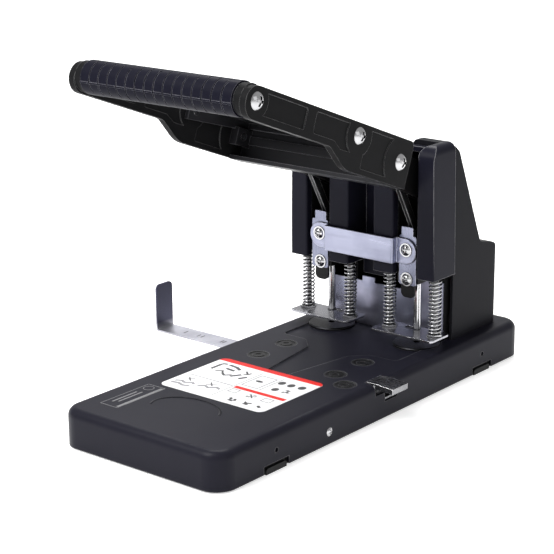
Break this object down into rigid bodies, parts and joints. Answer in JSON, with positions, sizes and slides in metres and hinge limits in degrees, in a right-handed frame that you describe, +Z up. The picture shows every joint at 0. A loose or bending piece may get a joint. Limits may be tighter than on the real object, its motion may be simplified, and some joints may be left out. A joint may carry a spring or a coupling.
{
  "type": "two-hole paper punch",
  "caption": "Lever-operated heavy-duty two-hole paper punch with a long flat base, covered column, ribbed grip, return springs and a sliding paper guide.",
  "frame": {"origin": "middle of the base's flat underside, on the desk", "axes": "+X to the right seen from the front, +Y to the rear towards the column, +Z up"},
  "size_m": [0.235, 0.36, 0.2598],
  "materials": {
    "base_enamel": "satin",
    "cover_plastic": "semi-gloss",
    "rear_plastic": "satin",
    "arm_enamel": "semi-matte",
    "black_steel": "satin",
    "grip_rubber": "matte",
    "black_plastic": "matte",
    "bright_chrome": "polished",
    "satin_steel": "satin",
    "blued_steel": "polished",
    "die_steel": "dark oxide",
    "bronze": "satin",
    "label_white": "printed"
  },
  "bodies": {
    "frame": {"base_shell": "base_enamel", "screw_caps": "black_plastic", "chip_tray": "black_plastic", "side_screws": "bright_chrome", "chassis_plate": "black_steel", "instruction_label": "label_white", "guide_rail": "satin_steel", "front_cover": "cover_plastic", "rear_cover": "rear_plastic", "cover_screws": "bright_chrome", "back_plate": "blued_steel", "tie_bolts": "satin_steel", "tie_spacers": "black_steel", "lever_shafts": "satin_steel", "shaft_rings": "satin_steel", "shaft_spacers": "black_steel", "rod_nuts": "satin_steel", "spring_seats": "bright_chrome", "lock_pin": "satin_steel", "die_left": "die_steel", "die_right": "die_steel", "frame_cheeks_left": "black_steel", "frame_cheeks_right": "black_steel", "rod_bridge_left": "black_steel", "rod_bridge_right": "black_steel", "guide_rods_left": "bright_chrome", "guide_rods_right": "bright_chrome", "pressure_plate_left": "bright_chrome", "pressure_plate_right": "bright_chrome", "spring_left_inner": "bright_chrome", "spring_left_outer": "bright_chrome", "spring_right_inner": "bright_chrome", "spring_right_outer": "bright_chrome"},
    "lever": {"yoke": "arm_enamel", "arm_bolts": "bright_chrome", "grip_screws": "bright_chrome", "grip_shaft": "satin_steel", "grip_sleeve": "grip_rubber", "lever_bushes": "bronze", "link_head_pins": "satin_steel", "arm_left": "arm_enamel", "arm_right": "arm_enamel", "inner_lever_left": "black_steel", "inner_lever_right": "black_steel"},
    "heads": {"head_bushes": "bronze", "head_screws": "bright_chrome", "head_strap": "satin_steel", "head_block_left": "black_steel", "head_block_right": "black_steel", "punch_pin_left": "bright_chrome", "punch_pin_right": "bright_chrome", "face_plate_left": "satin_steel", "face_plate_right": "satin_steel"},
    "link_left": {"link_left": "black_steel", "link_foot_pin_left": "satin_steel"},
    "link_right": {"link_right": "black_steel", "link_foot_pin_right": "satin_steel"},
    "paper_guide": {"paper_guide": "satin_steel"},
    "guide_lock": {"guide_lock": "bright_chrome"}
  },
  "joints": [
    {"name": "lever_pivot", "type": "hinge", "parent": "frame", "child": "lever", "pos_m": [0, 0.086, 0.15], "axis": [1, 0, 0], "range_deg": [0, 32], "stiffness_Nm_per_rad": 8, "springref_deg": -17.19},
    {"name": "head_slide", "type": "slide", "parent": "frame", "child": "heads", "axis": [0, 0, -1], "range_m": [0, 0.019], "deforming": ["spring_left_inner", "spring_left_outer", "spring_right_inner", "spring_right_outer"]},
    {"name": "link_left_hinge", "type": "hinge", "parent": "lever", "child": "link_left", "pos_m": [-0.04, 0.05287, 0.1595], "axis": [1, 0, 0], "range_deg": [-32, 0]},
    {"name": "link_right_hinge", "type": "hinge", "parent": "lever", "child": "link_right", "pos_m": [0.04, 0.05287, 0.1595], "axis": [1, 0, 0], "range_deg": [-32, 0]},
    {"name": "paper_guide_slide", "type": "slide", "parent": "frame", "child": "paper_guide", "axis": [1, 0, 0], "range_m": [0, 0.072]},
    {"name": "guide_lock_press", "type": "hinge", "parent": "frame", "child": "guide_lock", "pos_m": [0.0664, -0.0043, 0.0258], "axis": [0, 1, 0], "range_deg": [0, 8], "stiffness_Nm_per_rad": 0.3, "springref_deg": -8.59}
  ],
  "couplings": [
    {"joint": "head_slide", "follows": "lever_pivot", "m_per_rad": 0.03401},
    {"joint": "link_left_hinge", "follows": "lever_pivot", "ratio": -1},
    {"joint": "link_right_hinge", "follows": "lever_pivot", "ratio": -1}
  ]
}
